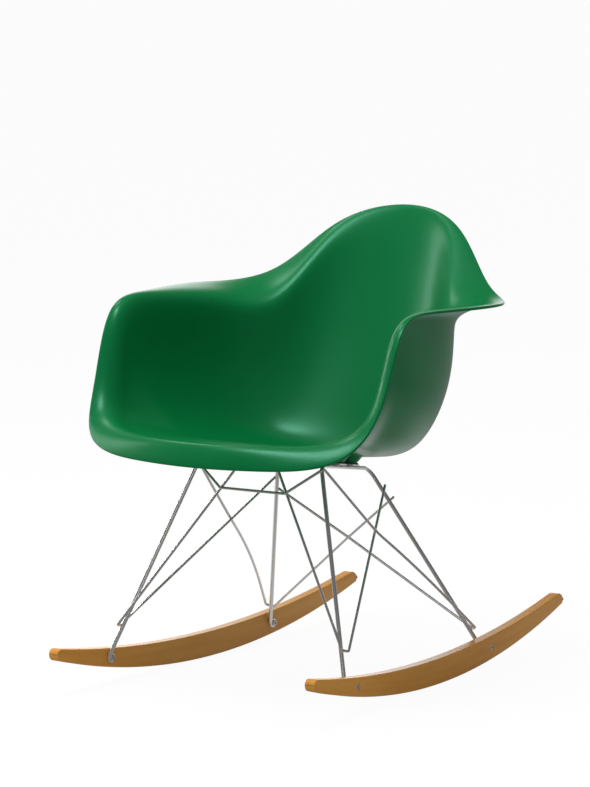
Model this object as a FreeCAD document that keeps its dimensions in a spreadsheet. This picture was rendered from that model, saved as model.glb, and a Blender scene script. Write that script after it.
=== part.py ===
import FreeCAD, Part
import math
import os

V = FreeCAD.Vector
Z_AXIS = V(0, 0, 1)

doc = FreeCAD.newDocument("rocking_chair")
sheet = doc.addObject("Spreadsheet::Sheet", "sizes")

# Every driving size, in millimetres and degrees. The chair faces -Y, +X is the
# sitter's left, and the floor is z = 0 under the middle of the rockers.
SIZES = {
    # rockers
    "rocker_length": 810, "rocker_thickness": 19.5, "rocker_depth": 42.3,
    "rocker_bottom_radius": 1345, "rocker_top_radius": 2075, "rocker_track": 469,
    "rocker_toe_angle": 3.1, "rocker_edge_radius": 1.5,
    # tip corners, as shares of the end's height: both in front, over and under behind
    "front_tip_share": 0.47, "rear_tip_over_share": 0.6, "rear_tip_under_share": 0.3,
    "front_bolt_y": -273, "rear_bolt_y": 157,
    # side frames: leg, rail and leg in one wire, with a flat eye at each foot
    "frame_wire": 7, "wire_gap": 0.1, "eye_diameter": 16, "eye_thickness": 5,
    "foot_knee_rise": 6, "foot_knee_radius": 8, "front_eye_behind": 5, "rear_eye_behind": 7,
    "front_top_x": 120.5, "front_top_y": -162.5, "rear_top_x": 92, "rear_top_y": 15,
    "front_top_radius": 14, "rear_top_radius": 32,
    # braces: the turns round the legs, the crossbar and the peak under the seat
    "brace_wire": 4.6, "vee_radius": 4.5,
    "front_vee_z": 96, "front_vee_start_out": 6, "front_vee_start_away": 7,
    "front_vee_end_out": 10.5, "front_vee_end_back": 6, "front_vee_rise": 0,
    "rear_vee_z": 56, "rear_vee_start_out": -0.5, "rear_vee_start_away": 8.5,
    "rear_vee_end_out": 10, "rear_vee_end_back": 0, "rear_vee_rise": 5,
    "crossing_radius": 400, "wrap_drop": 8, "wrap_radius": 4, "wrap_tight_radius": 2.4,
    "touch_z": 250, "touch_radius": 350, "bow_share": 0.42, "bow_back": 13, "bow_in": 3.8,
    "bow_radius": 1100,
    "crossbar_half": 65, "crossbar_forward": 10.5, "crossbar_z": 331, "crossbar_radius": 9,
    "peak_drop": 2, "peak_radius": 9,
    "front_tip_z": 307, "rear_tip_z": 286, "tip_overrun": 8,
    # seat shell, in its own plane that leans back with the rails
    "seat_tilt": 10.8, "seat_centre_y": -21, "seat_centre_z": 371.3, "shell_thickness": 5,
    "seat_half_width": 215.5, "seat_front_reach": 286, "seat_rear_reach": 117.5,
    "seat_squareness": 2.39, "seat_disc_radius": 40, "seat_flat_radius": 75,
    "seat_soft_share": 0.27, "seat_dish": 10, "seat_soft_lift": 0.3,
    "front_bulge": 14.7, "side_bulge": 26, "back_bulge": 19, "wall_bulge_length": 250,
    "lip_bend": 34.8, "lip_bend_share": 0.45,
    # rim of the shell: from the front middle round one side to the crown
    "front_y": -353.5, "front_z": 393.7,
    "front_side_x": 103, "front_side_y": -349.8, "front_side_z": 395.8,
    "front_corner_x": 267, "front_corner_y": -302.3, "front_corner_z": 399,
    "arm_rise_x": 292.6, "arm_rise_y": -221.2, "arm_rise_z": 491.6,
    "arm_nose_x": 295.7, "arm_nose_y": -181.2, "arm_nose_z": 636.4,
    "arm_mid_x": 287, "arm_mid_y": -79.4, "arm_mid_z": 629.8,
    "wing_x": 339.5, "wing_y": 109.8, "wing_z": 621.8,
    "wing_rear_x": 214.5, "wing_rear_y": 196, "wing_rear_z": 616.6,
    "shoulder_x": 135.5, "shoulder_y": 256.3, "shoulder_z": 729.6,
    "crown_y": 305.4, "crown_z": 758,
    # lip along the rim: its width, and at each station its angle from level
    "front_lip": 42.3, "corner_lip": 49.7, "arm_lip": 22.2, "wing_lip": 93.4, "back_lip": 9,
    "front_lip_angle": -72, "front_side_lip_angle": -69.7, "front_corner_lip_angle": -50,
    "arm_rise_lip_angle": -13.4, "arm_nose_lip_angle": -6.2, "arm_mid_lip_angle": -17,
    "wing_lip_angle": 1.2, "wing_rear_lip_angle": 17.7, "shoulder_lip_angle": 30.5,
    "crown_lip_angle": 40.5,
    # seat mounts
    "front_mount_along": -109, "rear_mount_along": -60, "mount_outset": 10,
    "rail_drop": 15.7, "boss_foot_diameter": 30, "boss_root_diameter": 44,
    "plate_thickness": 2.5, "plate_length": 34, "plate_width": 30, "plate_corner": 5,
    "pad_thickness": 2.5, "pad_length": 44, "pad_width": 20, "pad_corner": 4,
    "insert_diameter": 9, "insert_length": 9, "insert_bore": 5,
    "screw_diameter": 5, "screw_head_diameter": 12, "screw_head_height": 3.2, "screw_grip": 7,
    # rocker bolts and barrel nuts
    "bolt_diameter": 6, "bolt_head_diameter": 10.5, "bolt_head_height": 3.3,
    "bolt_clearance": 0.6, "nut_diameter": 11, "nut_length": 9, "nut_recess": 0.6,
    "nut_face": 2.4, "head_dome_share": 0.6,
    "socket_across": 4, "socket_depth": 2, "nut_socket_depth": 1.2,
    # how far a cutting tool runs past the face it opens, and a shank into its head
    "tool_past": 1, "shank_bite": 0.5,
}
for row, (alias, value) in enumerate(SIZES.items(), start=1):
    sheet.set("A%d" % row, alias)
    sheet.set("B%d" % row, str(value))
    sheet.setAlias("B%d" % row, alias)
doc.recompute()


def size(alias):
    return float(sheet.get(alias))


def bind(obj, prop, expression):
    obj.setExpression(prop, expression)
    return obj


# Rockers: a slice of a large disc, cut back by a larger one, standing on the floor
def rocker_point(side, across, along, up):
    toe = math.radians(size("rocker_toe_angle"))
    x = size("rocker_track") / 2 + across * math.cos(toe) - along * math.sin(toe)
    y = across * math.sin(toe) + along * math.cos(toe)
    return V(side * x, y, up)


def rocker_axis(side):
    toe = math.radians(size("rocker_toe_angle"))
    return V(side * math.cos(toe), math.sin(toe), 0)


def rocker_heights(along):
    """The rocker's underside and top above the floor at a distance along it."""
    low = size("rocker_bottom_radius")
    high = size("rocker_top_radius")
    under = low - math.sqrt(low ** 2 - along ** 2)
    over = size("rocker_depth") + high - math.sqrt(high ** 2 - along ** 2)
    return under, over


def rocker_mid_height(along):
    return sum(rocker_heights(along)) / 2


BOLT_ALONG = {"front": size("front_bolt_y"), "rear": size("rear_bolt_y")}


def across_cylinder(name, radius, height, centre, start, axis):
    """A cylinder along axis; start is its near end's distance from centre."""
    cylinder = doc.addObject("Part::Cylinder", name)
    bind(cylinder, "Radius", radius)
    bind(cylinder, "Height", height)
    turn = FreeCAD.Rotation(Z_AXIS, axis)
    cylinder.Placement = FreeCAD.Placement(centre + axis * start, turn)
    return cylinder


def cut(name, base, tool):
    result = doc.addObject("Part::Cut", name)
    result.Base = base
    result.Tool = tool
    return result


def fuse(name, shapes):
    result = doc.addObject("Part::MultiFuse", name)
    result.Shapes = shapes
    return result


def fillet_edges(name, base, wanted, radius):
    """Part::Fillet on the edges of base that the test picks; radius is read per edge."""
    doc.recompute()
    rounded = doc.addObject("Part::Fillet", name)
    rounded.Base = base
    chosen = [(i, radius(edge)) for i, edge in enumerate(base.Shape.Edges, start=1) if wanted(edge)]
    rounded.Edges = [(i, r, r) for i, r in chosen]
    return rounded


def make_rocker(side, hand):
    half = size("rocker_thickness") / 2
    name = hand + "_rocker"
    across = V(1, 0, 0)
    outward = V(side, 0, 0)
    disc = across_cylinder(name + "_disc", "sizes.rocker_bottom_radius", "sizes.rocker_thickness",
                           V(0, 0, size("rocker_bottom_radius")), -half, across)
    hollow = across_cylinder(name + "_hollow", "sizes.rocker_top_radius", "sizes.rocker_thickness",
                             V(0, 0, size("rocker_depth") + size("rocker_top_radius")), -half, across)
    slab = doc.addObject("Part::Box", name + "_slab")
    bind(slab, "Length", "sizes.rocker_thickness")
    bind(slab, "Width", "sizes.rocker_length")
    bind(slab, "Height", "sizes.rocker_length / 4")
    slab.Placement.Base = V(-half, -size("rocker_length") / 2, -size("tool_past"))
    lower = doc.addObject("Part::Common", name + "_lower")
    lower.Base = disc
    lower.Tool = slab
    blank = cut(name + "_blank", lower, hollow)
    reach = size("rocker_length") / 2

    def at_tip(edge):
        middle = edge.CenterOfMass
        return abs(middle.x) < 0.01 and abs(abs(middle.y) - reach) < 0.01

    under, over = rocker_heights(reach)

    def tip_radius(edge):
        middle = edge.CenterOfMass
        if middle.y < 0:
            share = size("front_tip_share")
        else:
            share = size("rear_tip_over_share" if middle.z > (over + under) / 2
                         else "rear_tip_under_share")
        return share * (over - under)

    tips = fillet_edges(name + "_tips", blank, at_tip, tip_radius)
    soft = fillet_edges(name + "_soft", tips, lambda edge: edge.Length > reach / 2,
                        lambda edge: size("rocker_edge_radius"))
    sink = size("nut_length") + size("nut_recess")
    holes = []
    for end, along in BOLT_ALONG.items():
        centre = V(0, along, rocker_mid_height(along))
        holes.append(across_cylinder(name + "_bore_" + end,
                                     "(sizes.bolt_diameter + sizes.bolt_clearance) / 2",
                                     "sizes.rocker_thickness + 2 * sizes.tool_past", centre,
                                     -half - size("tool_past"), across))
        holes.append(across_cylinder(name + "_sink_" + end,
                                     "(sizes.nut_diameter + sizes.bolt_clearance) / 2",
                                     "sizes.nut_length + sizes.nut_recess + sizes.tool_past", centre,
                                     half - sink, outward))
    drilled = cut(name, soft, fuse(name + "_holes", holes))
    toe = FreeCAD.Rotation(Z_AXIS, side * size("rocker_toe_angle"))
    drilled.Placement = FreeCAD.Placement(V(side * size("rocker_track") / 2, 0, 0), toe)
    return drilled


# Wire base: round wire along straight runs joined by tangent arcs
def bent_wire(points, radii, diameter):
    """The solid of a wire through points; radii holds the bend at each inner point."""
    edges = []
    start = points[0]
    for corner, after, radius in zip(points[1:], points[2:], radii):
        inward = (start - corner).normalize()
        onward = (after - corner).normalize()
        half_angle = inward.getAngle(onward) / 2
        trim = radius / math.tan(half_angle)
        bisector = (inward + onward).normalize()
        first = corner + inward * trim
        last = corner + onward * trim
        middle = corner + bisector * (radius / math.sin(half_angle) - radius)
        edges.append(Part.LineSegment(start, first).toShape())
        edges.append(Part.Arc(first, middle, last).toShape())
        start = last
    edges.append(Part.LineSegment(start, points[-1]).toShape())
    spine = Part.Wire(edges)
    ring = Part.Wire(Part.makeCircle(diameter / 2, points[0], points[1] - points[0]))
    return spine.makePipeShell([ring], True, False), spine


def foot_point(side, end):
    """Where the leg's wire ends, level with the bolt and a little in front of it."""
    along = BOLT_ALONG[end]
    across = -size("rocker_thickness") / 2 - size("frame_wire") / 2 - size("wire_gap")
    return rocker_point(side, across, along - size(end + "_eye_behind"), rocker_mid_height(along))


def rail_end(side, end):
    """Where the rail's straight line meets the leg's."""
    height = seat_point(0, 0, -size("rail_drop") - size("shell_thickness"))
    lean = math.tan(math.radians(size("seat_tilt")))
    y = size(end + "_top_y")
    return V(side * size(end + "_top_x"), y, height.z - (y - height.y) * lean)


def knee_point(side, end):
    return foot_point(side, end) + Z_AXIS * size("foot_knee_rise")


def seat_point(across, along, up):
    """A point in the seat's own leaning plane: up is 0 on the seat's upper face."""
    tilt = math.radians(size("seat_tilt"))
    y = size("seat_centre_y") + along * math.cos(tilt) + up * math.sin(tilt)
    z = size("seat_centre_z") - along * math.sin(tilt) + up * math.cos(tilt)
    return V(across, y, z)


def leg_frame(side, end, height):
    """The leg's axis point at a height, with its outward and fore-aft (away) directions."""
    low = knee_point(side, end)
    high = rail_end(side, end)
    share = (height - low.z) / (high.z - low.z)
    point = low + (high - low) * share
    leg = (high - low).normalize()
    outward = V(side, 0, 0)
    outward = (outward - leg * outward.dot(leg)).normalize()
    away = V(0, -1 if end == "front" else 1, 0)
    away = away - leg * away.dot(leg)
    away = (away - outward * away.dot(outward)).normalize()
    return point, outward, away


def wrap_reach():
    return (size("frame_wire") + size("brace_wire")) / 2 + size("wire_gap")


def make_side_frame(side, hand):
    """One wire from the front foot up, back along the rail and down to the rear foot."""
    points = [foot_point(side, "front"), knee_point(side, "front"), rail_end(side, "front"),
              rail_end(side, "rear"), knee_point(side, "rear"), foot_point(side, "rear")]
    knee = size("foot_knee_radius")
    radii = [knee, size("front_top_radius"), size("rear_top_radius"), knee]
    frame, spine = bent_wire(points, radii, size("frame_wire"))
    axis = rocker_axis(side)
    thick = size("eye_thickness")
    bore = (size("bolt_diameter") + size("bolt_clearance")) / 2
    head = size("bolt_head_diameter") / 2 + size("bolt_clearance")
    reach = size("frame_wire") + thick
    faces = [rocker_point(side, -size("rocker_thickness") / 2, along, rocker_mid_height(along))
             for along in BOLT_ALONG.values()]
    frame = frame.fuse([Part.makeCylinder(size("eye_diameter") / 2, thick, face, -axis)
                        for face in faces])
    for face in faces:
        past = axis * size("tool_past")
        frame = frame.cut(Part.makeCylinder(bore, reach, face + past, -axis))
        frame = frame.cut(Part.makeCylinder(head, reach, face - axis * thick, -axis))
    return solid_feature(hand + "_side_frame", frame)


def solid_feature(name, shape):
    feature = doc.addObject("Part::Feature", name)
    feature.Shape = shape.removeSplitter() if len(shape.Solids) == 1 else shape
    return feature


def vee(side, end):
    """The two corners of a brace's turn round the foot of a leg, first the inboard strand's."""
    point, outward, away = leg_frame(side, end, size(end + "_vee_z"))
    name = end + "_vee_"
    start = point + outward * size(name + "start_out") + away * size(name + "start_away")
    finish = point + outward * size(name + "end_out") - away * size(name + "end_back")
    return start, finish + Z_AXIS * size(name + "rise")


def brace_tip(side, height, sideways):
    """Where a brace's free end crosses a rear leg: on its outer side, or behind it."""
    point, outward, away = leg_frame(side, "rear", height)
    return point + (outward if sideways else away) * wrap_reach()


def overrun(start, tip):
    """The tip point pushed on along its strand, so the cut end shows past the leg."""
    return tip + (tip - start).normalize() * size("tip_overrun")


def outer_strand(side):
    """The front brace's outer strand, from its turn at the foot to where it meets the leg."""
    inner, outer = vee(side, "front")
    return outer, brace_tip(side, size("front_tip_z"), True)


def make_front_brace():
    """One wire: rear leg, front vee, peak under the seat, other front vee, other rear leg."""
    inner, outer = vee(1, "front")
    tip = outer_strand(1)[1]
    cross = crossbar_point(1) + V(0, size("brace_wire") + size("wire_gap"), 0)
    peak_z = rail_end(1, "front").z - size("peak_drop")
    peak = cross + (cross - inner) * ((peak_z - cross.z) / (cross.z - inner.z))
    half = [overrun(outer, tip), outer, inner, peak]
    points = half + [V(-p.x, p.y, p.z) for p in reversed(half)]
    bends = [size("vee_radius"), size("vee_radius"), size("peak_radius")]
    radii = bends + bends[::-1]
    wire, spine = bent_wire(points, radii, size("brace_wire"))
    return solid_feature("front_brace_wire", wire), spine


def crossbar_point(side):
    """The crossbar's bend, a little in front of the legs at its height."""
    leg, outward, away = leg_frame(side, "front", size("crossbar_z"))
    return V(side * size("crossbar_half"), leg.y - size("crossbar_forward"), size("crossbar_z"))


def touch_corner(side, before, after):
    """The corner whose arc lies against the outside of the front brace's outer strand."""
    low, high = outer_strand(side)
    along = (high - low).normalize()
    beside = low + (high - low) * ((size("touch_z") - low.z) / (high.z - low.z))
    off = along.cross(after - before).normalize()
    off = off * (side if off.x > 0 else -side)
    touch = beside + off * (size("brace_wire") + size("wire_gap"))
    inward = (before - touch).normalize()
    onward = (after - touch).normalize()
    half_angle = inward.getAngle(onward) / 2
    sag = size("touch_radius") / math.sin(half_angle) - size("touch_radius")
    return touch - (inward + onward).normalize() * sag


def make_rear_brace():
    """One wire: rear leg, rear vee, round the front leg's top, crossbar, and the same again."""
    points = []
    radii = []
    middle_shift = (size("brace_wire") + size("wire_gap")) / 2
    for side in (1, -1):
        inner, outer = vee(side, "rear")
        tip = brace_tip(-side, size("rear_tip_z"), False)
        chord = tip - inner
        share = inner.x / (inner.x - tip.x)
        leg_cross = (inner + chord * share) + V(0, side, 1).normalize() * middle_shift
        top_height = rail_end(side, "front").z - size("wrap_drop")
        point, outward, away = leg_frame(side, "front", top_height)
        wrap_side = point + outward * wrap_reach()
        wrap_corner = wrap_side + away * wrap_reach()
        touch = touch_corner(side, outer, wrap_side)
        bow = (touch + (outer - touch) * size("bow_share")
               + V(-side * size("bow_in"), size("bow_back"), 0))
        run = [overrun(leg_cross, tip), leg_cross, inner, outer, bow,
               touch_corner(side, bow, wrap_side), wrap_side, wrap_corner, crossbar_point(side)]
        bends = [size(name) for name in (
            "crossing_radius", "vee_radius", "vee_radius", "bow_radius", "touch_radius",
            "wrap_radius", "wrap_tight_radius", "crossbar_radius")]
        if side > 0:
            points += run
            radii += bends
        else:
            points += reversed(run)
            radii += reversed(bends)
    wire, spine = bent_wire(points, radii, size("brace_wire"))
    return solid_feature("rear_brace_wire", wire), spine


# Seat shell: closed spline skins through rings of control points
# Rim stations from the front middle round to the crown: the lip and wall bulge each takes
STATIONS = {"front": ("front_lip", "front_bulge"), "front_side": ("front_lip", "front_bulge"),
            "front_corner": ("corner_lip", "front_bulge"), "arm_rise": ("arm_lip", "side_bulge"),
            "arm_nose": ("arm_lip", "side_bulge"), "arm_mid": ("arm_lip", "side_bulge"),
            "wing": ("wing_lip", "side_bulge"), "wing_rear": ("wing_lip", "back_bulge"),
            "shoulder": ("back_lip", "back_bulge"), "crown": ("back_lip", "back_bulge")}


def full_ring(half):
    """A closed ring from the right half's points, which start and end on the middle plane."""
    return half + [V(-p.x, p.y, p.z) for p in reversed(half[1:-1])]


def shell_rings():
    """Rings of control points from the flat middle of the seat out to the rim."""
    rim = []
    for name in STATIONS:
        x = 0 if name in ("front", "crown") else size(name + "_x")
        rim.append(V(x, size(name + "_y"), size(name + "_z")))
    rim = full_ring(rim)
    names = list(STATIONS) + list(STATIONS)[-2:0:-1]
    count = len(rim)
    seat = seat_point(0, 0, 0)
    rings = [[] for _ in range(8)]
    for i, edge in enumerate(rim):
        chord = rim[(i + 1) % count] - rim[i - 1]
        out = V(chord.y, -chord.x, 0).normalize()
        lip_angle = math.radians(size(names[i] + "_lip_angle"))
        lip_way = out * math.cos(lip_angle) + Z_AXIS * math.sin(lip_angle)
        lip, bulge = (size(part) for part in STATIONS[names[i]])
        crest = edge - lip_way * lip
        bearing = math.atan2(crest.x, seat.y - crest.y)
        sin_b = math.sin(bearing)
        cos_b = math.cos(bearing)
        reach = size("seat_front_reach") if cos_b > 0 else size("seat_rear_reach")
        power = size("seat_squareness")
        radius = (abs(sin_b / size("seat_half_width")) ** power + abs(cos_b / reach) ** power)
        radius = radius ** (-1 / power)
        floor = seat_point(radius * sin_b, -radius * cos_b, 0)
        wall = crest - floor
        rise = V(wall).normalize()
        belly = out * bulge * min(1, wall.Length / size("wall_bulge_length"))
        bend = min(size("lip_bend"), wall.Length * size("lip_bend_share"))
        flat = size("seat_flat_radius")
        soft = flat + (radius - flat) * size("seat_soft_share")
        dish = size("seat_dish")
        seat_rings = ((size("seat_disc_radius"), 0), (flat, 0),
                      (soft, dish * size("seat_soft_lift")), (radius, dish))
        for k, (r, up) in enumerate(seat_rings):
            rings[k].append(seat_point(r * sin_b, -r * cos_b, up))
        rings[4].append((floor + crest) / 2 + belly)
        rings[5].append(crest - rise * bend)
        rings[6].append(crest)
        rings[7].append(edge - lip_way * (size("shell_thickness") / 2))
    return rings


def spline_skin(rings):
    """A surface closed round the rings and clamped from the first to the last."""
    rows = [[ring[i] for ring in rings] for i in range(len(rings[0]))]
    around = len(rows)
    inner_knots = len(rings) - 3
    skin = Part.BSplineSurface()
    skin.buildFromPolesMultsKnots(rows, [1] * (around + 1), [4] + [1] * (inner_knots - 1) + [4],
                                  list(range(around + 1)), list(range(inner_knots + 1)),
                                  True, False, 3, 3)
    return skin


def shell_skin_solid():
    """The moulded skin: seat side, underside one thickness away, and a rounded rim."""
    rings = shell_rings()
    inside = spline_skin(rings)
    thick = size("shell_thickness")
    count = len(rings[0])
    spans = len(rings) - 3
    knots = [0, 0, 0] + list(range(spans + 1)) + [spans] * 3
    under = []
    for k, ring in enumerate(rings):
        # the normal is read where control point i pulls hardest
        out = (knots[k + 1] + knots[k + 2] + knots[k + 3]) / 3
        normals = [inside.normal((i - 1) % count, out) for i in range(count)]
        under.append([point + normal * thick for point, normal in zip(ring, normals)])
    outside = spline_skin(under)
    reach = thick * 2 / 3
    noses = []
    for ring, before in ((rings[-1], rings[-2]), (under[-1], under[-2])):
        noses.append([p + (p - q).normalize() * reach for p, q in zip(ring, before)])
    rim = spline_skin([rings[-1], noses[0], noses[1], under[-1]])
    faces = [inside.toShape(), outside.toShape(), rim.toShape()]
    for skin in (inside, outside):
        middle = skin.vIso(0).toShape()
        faces.append(Part.Face(Part.Wire(middle)))
    skin = Part.makeShell(faces)
    skin.sewShape()
    solid = Part.makeSolid(skin)
    if solid.Volume < 0:
        solid.reverse()
    return solid


def seat_placement(across, along, up, turn=0):
    """Placement on the seat's leaning plane, turned about its normal."""
    lean = FreeCAD.Rotation(V(1, 0, 0), -size("seat_tilt"))
    return FreeCAD.Placement(seat_point(across, along, up),
                             lean * FreeCAD.Rotation(Z_AXIS, turn))


def seat_along(point):
    """How far along the leaning plane a point lies, rearward from the seat's middle."""
    tilt = math.radians(size("seat_tilt"))
    y = point.y - size("seat_centre_y")
    z = point.z - size("seat_centre_z")
    return y * math.cos(tilt) - z * math.sin(tilt)


def mount_spot(side, end):
    """Across, along and turn of a mount, just outboard of its rail."""
    front = rail_end(side, "front")
    rear = rail_end(side, "rear")
    start = seat_along(front)
    slope = (rear.x - front.x) / (seat_along(rear) - start)
    along = size(end + "_mount_along")
    across = front.x + slope * (along - start) + side * size("mount_outset")
    return across, along, -math.degrees(math.atan(slope))


def mount_levels():
    """Heights on the leaning plane of the plate's foot, pad's foot and boss's foot."""
    rail_top = -size("shell_thickness") - size("rail_drop") + size("frame_wire") / 2
    plate = rail_top
    pad = plate + size("plate_thickness")
    boss = pad + size("pad_thickness")
    return plate, pad, boss


def skin_level(skin, across, along):
    """Level of the middle of the skin's thickness, on the seat's normal through a mount."""
    below = seat_point(across, along, -size("rail_drop"))
    above = seat_point(across, along, size("rail_drop"))
    inside = skin.common(Part.makeLine(below, above)).Edges[0]
    return (inside.CenterOfMass - below).Length - size("rail_drop")


def upright(kind, name, spot, up, bindings):
    """A round primitive that stands on the leaning plane at a mount."""
    across, along, turn = spot
    solid = doc.addObject(kind, name)
    for prop, expression in bindings.items():
        bind(solid, prop, expression)
    solid.Placement = seat_placement(across, along, up, turn)
    return solid


CORNERS = [(side, end) for side in (1, -1) for end in ("front", "rear")]


def corner_name(side, end):
    return end + ("_left" if side > 0 else "_right")


# level of the bosses' feet on the leaning plane, below the seat's face
BOSS_FOOT = ("sizes.frame_wire / 2 + sizes.plate_thickness + sizes.pad_thickness"
             " - sizes.shell_thickness - sizes.rail_drop")


def make_seat_shell():
    skin = doc.addObject("Part::Feature", "shell_skin")
    skin.Shape = shell_skin_solid()
    plate, pad, boss = mount_levels()
    bosses = []
    bores = []
    for side, end in CORNERS:
        spot = mount_spot(side, end)
        label = corner_name(side, end)
        bosses.append(upright("Part::Cone", label + "_boss", spot, boss, {
            "Radius1": "sizes.boss_foot_diameter / 2", "Radius2": "sizes.boss_root_diameter / 2",
            "Height": "%.2f - (%s)" % (skin_level(skin.Shape, spot[0], spot[1]), BOSS_FOOT)}))
        bores.append(upright("Part::Cylinder", label + "_bore", spot, boss - size("tool_past"), {
            "Radius": "sizes.insert_diameter / 2",
            "Height": "sizes.insert_length + sizes.tool_past"}))
    moulded = fuse("moulded_shell", [skin] + bosses)
    return cut("seat_shell", moulded, fuse("insert_bores", bores))


def slab_on_seat(name, kind, spot, up):
    """A flat rounded plate or pad centred on a mount, with the screw's clearance hole."""
    across, along, turn = spot
    slab = doc.addObject("Part::Box", name + "_blank")
    bind(slab, "Length", "sizes.%s_width" % kind)
    bind(slab, "Width", "sizes.%s_length" % kind)
    bind(slab, "Height", "sizes.%s_thickness" % kind)
    place = seat_placement(across, along, up, turn)
    middle = V(-size(kind + "_width") / 2, -size(kind + "_length") / 2, 0)
    slab.Placement = place.multiply(FreeCAD.Placement(middle, FreeCAD.Rotation()))
    thick = size(kind + "_thickness")
    rounded = fillet_edges(name + "_round", slab, lambda edge: abs(edge.Length - thick) < 0.01,
                           lambda edge: size(kind + "_corner"))
    hole = upright("Part::Cylinder", name + "_hole", spot, up - size("tool_past"), {
        "Radius": "(sizes.screw_diameter + sizes.bolt_clearance) / 2",
        "Height": "sizes.%s_thickness + 2 * sizes.tool_past" % kind})
    return cut(name, rounded, hole)


def make_insert(label, spot, boss):
    body = upright("Part::Cylinder", label + "_insert_body", spot, boss,
                   {"Radius": "sizes.insert_diameter / 2", "Height": "sizes.insert_length"})
    bore = upright("Part::Cylinder", label + "_insert_bore", spot, boss - size("tool_past"),
                   {"Radius": "sizes.insert_bore / 2",
                    "Height": "sizes.insert_length + 2 * sizes.tool_past"})
    return cut(label + "_insert", body, bore)


def hex_socket(name, placement):
    socket = doc.addObject("Part::Prism", name)
    socket.Polygon = 6
    bind(socket, "Circumradius", "sizes.socket_across / sqrt(3)")
    bind(socket, "Height", "sizes.socket_depth + sizes.tool_past")
    socket.Placement = placement
    return socket


def make_seat_screw(label, spot, plate):
    """Screw from below: a round head under the plate and a shank up into the insert."""
    across, along, turn = spot
    head = upright("Part::Cylinder", label + "_screw_head", spot,
                   plate - size("screw_head_height"),
                   {"Radius": "sizes.screw_head_diameter / 2", "Height": "sizes.screw_head_height"})
    shank = upright("Part::Cylinder", label + "_screw_shank", spot, plate - size("shank_bite"),
                    {"Radius": "sizes.screw_diameter / 2",
                     "Height": "sizes.plate_thickness + sizes.pad_thickness + sizes.screw_grip"
                               " + sizes.shank_bite"})
    low = plate - size("screw_head_height")
    middle = seat_point(across, along, low)
    rounded = fillet_edges(label + "_screw_dome", head,
                           lambda edge: edge.Closed and (edge.CenterOfMass - middle).Length < 0.1,
                           lambda edge: size("screw_head_height") * size("head_dome_share"))
    socket = hex_socket(label + "_screw_socket",
                        seat_placement(across, along, low - size("tool_past"), turn))
    return cut(label + "_seat_screw", fuse(label + "_screw_blank", [rounded, shank]), socket)


def make_rocker_bolt(side, end, label):
    """Button-head bolt: from the eye's inner face through the rocker into its barrel nut."""
    along = BOLT_ALONG[end]
    centre = rocker_point(side, 0, along, rocker_mid_height(along))
    axis = rocker_axis(side)
    inner = -size("rocker_thickness") / 2 - size("eye_thickness")
    head = across_cylinder(label + "_bolt_head", "sizes.bolt_head_diameter / 2",
                           "sizes.bolt_head_height", centre, inner - size("bolt_head_height"), axis)
    reach = ("sizes.eye_thickness + sizes.rocker_thickness - sizes.nut_recess - sizes.nut_face"
             " - sizes.bolt_clearance + sizes.shank_bite")
    shank = across_cylinder(label + "_bolt_shank", "sizes.bolt_diameter / 2", reach, centre,
                            inner - size("shank_bite"), axis)
    face = centre + axis * (inner - size("bolt_head_height"))
    rounded = fillet_edges(label + "_bolt_dome", head,
                           lambda edge: edge.Closed and (edge.CenterOfMass - face).Length < 0.1,
                           lambda edge: size("bolt_head_height") * size("head_dome_share"))
    socket = hex_socket(label + "_bolt_socket",
                        FreeCAD.Placement(face - axis * size("tool_past"),
                                          FreeCAD.Rotation(Z_AXIS, axis)))
    return cut(label + "_rocker_bolt", fuse(label + "_bolt_blank", [rounded, shank]), socket)


def make_barrel_nut(side, end, label):
    """Sleeve nut sunk just below the rocker's outer face, with a hex socket to hold it by."""
    along = BOLT_ALONG[end]
    centre = rocker_point(side, 0, along, rocker_mid_height(along))
    axis = rocker_axis(side)
    half = size("rocker_thickness") / 2
    start = half - size("nut_recess") - size("nut_length")
    body = across_cylinder(label + "_nut_body", "sizes.nut_diameter / 2", "sizes.nut_length",
                           centre, start, axis)
    bore = across_cylinder(label + "_nut_bore", "sizes.bolt_diameter / 2",
                           "sizes.nut_length - sizes.nut_face + sizes.tool_past", centre,
                           start - size("tool_past"), axis)
    face = centre + axis * (half - size("nut_recess") - size("nut_socket_depth"))
    socket = hex_socket(label + "_nut_socket",
                        FreeCAD.Placement(face, FreeCAD.Rotation(Z_AXIS, axis)))
    return cut(label + "_barrel_nut", body, fuse(label + "_nut_cuts", [bore, socket]))


nodes = [make_seat_shell()]
for side, hand in ((1, "left"), (-1, "right")):
    nodes.append(make_side_frame(side, hand))
    nodes.append(make_rocker(side, hand))
front_brace, front_spine = make_front_brace()
rear_brace, rear_spine = make_rear_brace()
nodes += [front_brace, rear_brace]
plate_level, pad_level, boss_level = mount_levels()
for side, end in CORNERS:
    label = corner_name(side, end)
    spot = mount_spot(side, end)
    nodes.append(slab_on_seat(label + "_mount_plate", "plate", spot, plate_level))
    nodes.append(slab_on_seat(label + "_mount_pad", "pad", spot, pad_level))
    nodes.append(make_insert(label, spot, boss_level))
    nodes.append(make_seat_screw(label, spot, plate_level))
    nodes.append(make_rocker_bolt(side, end, label))
    nodes.append(make_barrel_nut(side, end, label))

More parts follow.
